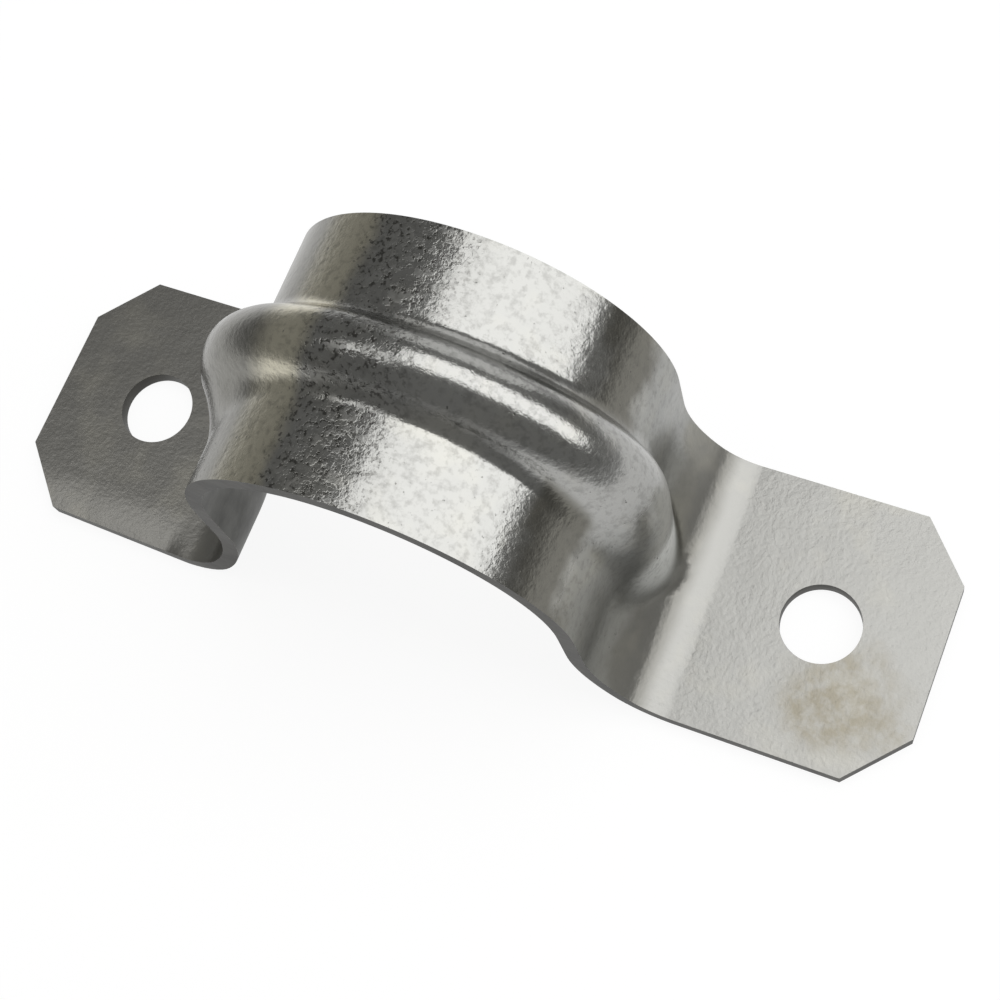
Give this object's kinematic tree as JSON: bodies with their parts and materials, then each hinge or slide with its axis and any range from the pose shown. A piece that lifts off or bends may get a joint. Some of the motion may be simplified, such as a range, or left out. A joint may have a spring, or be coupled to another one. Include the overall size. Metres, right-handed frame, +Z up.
{
  "type": "conduit strap",
  "caption": "Arched sheet-steel strap with a pressed stiffening bead and flat, clipped-corner ears with screw holes, for fixing round conduit to a surface.",
  "frame": {"origin": "middle of the base plane, under the conduit's axis", "axes": "+X along the strap from ear to ear, +Y along the conduit, +Z up through the crown of the arch"},
  "size_m": [0.065, 0.0188, 0.0271],
  "materials": {
    "zinc_steel": "bright zinc plating over sheet steel, glossy and slightly grainy on the arch, duller on the ears"
  },
  "bodies": {
    "root": {"strap": "zinc_steel"}
  },
  "joints": []
}
